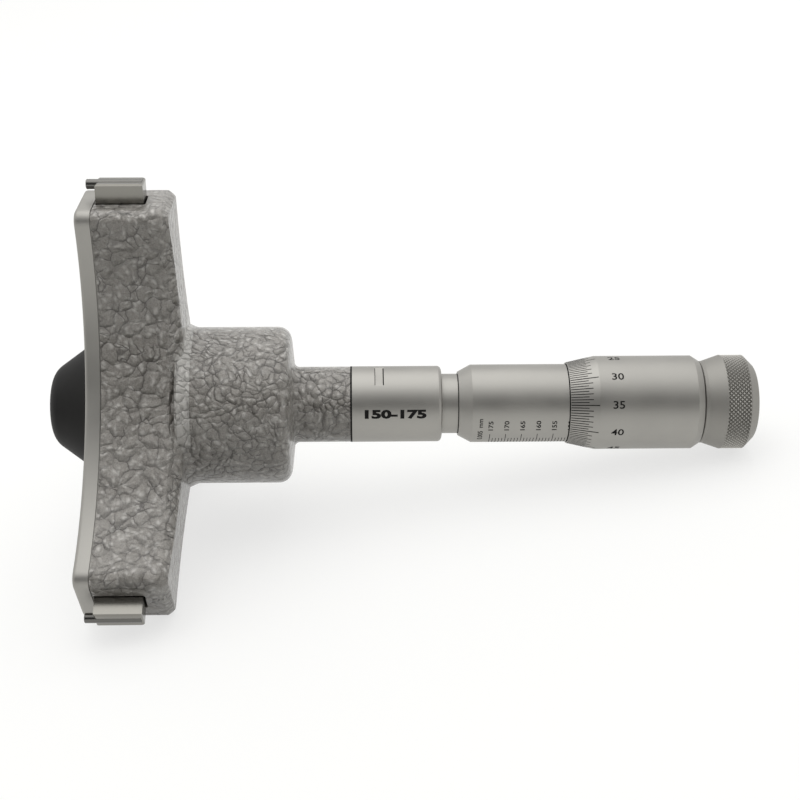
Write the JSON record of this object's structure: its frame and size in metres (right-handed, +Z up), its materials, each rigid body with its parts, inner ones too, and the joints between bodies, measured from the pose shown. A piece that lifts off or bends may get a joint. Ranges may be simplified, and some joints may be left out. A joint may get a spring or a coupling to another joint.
{
  "type": "three-point inside micrometer",
  "caption": "Bore gauge with a three-armed painted head, radial jaws with hard pins, black nose cap and a micrometer handle with thimble and ratchet knob.",
  "frame": {"origin": "measuring centre: the point on the spindle axis in the plane of the three plungers", "axes": "+X along the handle as it lies on a table, +Z up along the upper arm's side of the head; the spindle axis dips towards the knob by the angle given in the report"},
  "size_m": [0.2224, 0.132, 0.1205],
  "materials": {
    "hammertone_paint": "grey hammertone enamel on a casting",
    "satin_plate": "satin, finely brushed",
    "satin_chrome": "satin chrome over turned steel",
    "knurled_chrome": "satin chrome with a diamond knurl",
    "black_cap": "near-black, smooth and matt",
    "hardened_steel": "ground hardened steel",
    "carbide": "ground hard metal, dark and bright",
    "bronze": "plain bearing bronze",
    "spring_steel": "drawn wire",
    "screw_steel": "zinc-plated steel"
  },
  "bodies": {
    "frame": {"head_casting": "hammertone_paint", "cover_plate": "satin_plate", "cover_screws": "screw_steel", "nose_cap": "black_cap", "guide_bush_1": "bronze", "guide_bush_2": "bronze", "guide_bush_3": "bronze", "return_spring_1": "spring_steel", "return_spring_2": "spring_steel", "return_spring_3": "spring_steel", "adapter_sleeve": "satin_chrome", "inner_sleeve": "satin_chrome", "scale_sleeve": "satin_chrome", "adjusting_nut": "screw_steel"},
    "cone_slider": {"measuring_cone": "hardened_steel", "thrust_ball": "hardened_steel"},
    "thimble_group": {"measuring_screw": "hardened_steel", "thimble": "satin_chrome", "ratchet_hub": "screw_steel", "ratchet_ring": "hardened_steel", "ratchet_spring": "spring_steel", "ratchet_screw": "screw_steel"},
    "ratchet_grip": {"ratchet_knob": "knurled_chrome"},
    "jaw_slider_1": {"plunger_1": "hardened_steel", "retaining_clip_1": "spring_steel", "jaw_1": "hardened_steel", "contact_pin_1": "carbide"},
    "jaw_slider_2": {"plunger_2": "hardened_steel", "retaining_clip_2": "spring_steel", "jaw_2": "hardened_steel", "contact_pin_2": "carbide"},
    "jaw_slider_3": {"plunger_3": "hardened_steel", "retaining_clip_3": "spring_steel", "jaw_3": "hardened_steel", "contact_pin_3": "carbide"}
  },
  "joints": [
    {"name": "cone_advance", "type": "slide", "parent": "frame", "child": "cone_slider", "axis": [-0.9877, 0, 0.1561], "range_m": [0, 0.025]},
    {"name": "thimble_turn", "type": "hinge", "parent": "cone_slider", "child": "thimble_group", "pos_m": [0.13255, 0, -0.02095], "axis": [-0.9877, 0, 0.1561], "range_deg": [0, 18000]},
    {"name": "jaw_slide_1", "type": "slide", "parent": "frame", "child": "jaw_slider_1", "axis": [0.1561, 0, 0.9877], "range_m": [0, 0.0125], "deforming": ["return_spring_1"]},
    {"name": "jaw_slide_2", "type": "slide", "parent": "frame", "child": "jaw_slider_2", "axis": [-0.0781, -0.866, -0.4939], "range_m": [0, 0.0125], "deforming": ["return_spring_2"]},
    {"name": "jaw_slide_3", "type": "slide", "parent": "frame", "child": "jaw_slider_3", "axis": [-0.0781, 0.866, -0.4939], "range_m": [0, 0.0125], "deforming": ["return_spring_3"]},
    {"name": "ratchet_turn", "type": "hinge", "parent": "thimble_group", "child": "ratchet_grip", "pos_m": [0.18807, 0, -0.02972], "axis": [-0.9877, 0, 0.1561], "continuous": true}
  ],
  "couplings": [
    {"joint": "thimble_turn", "follows": "cone_advance", "rad_per_m": 12566},
    {"joint": "jaw_slide_1", "follows": "cone_advance", "ratio": 0.5},
    {"joint": "jaw_slide_2", "follows": "cone_advance", "ratio": 0.5},
    {"joint": "jaw_slide_3", "follows": "cone_advance", "ratio": 0.5}
  ]
}
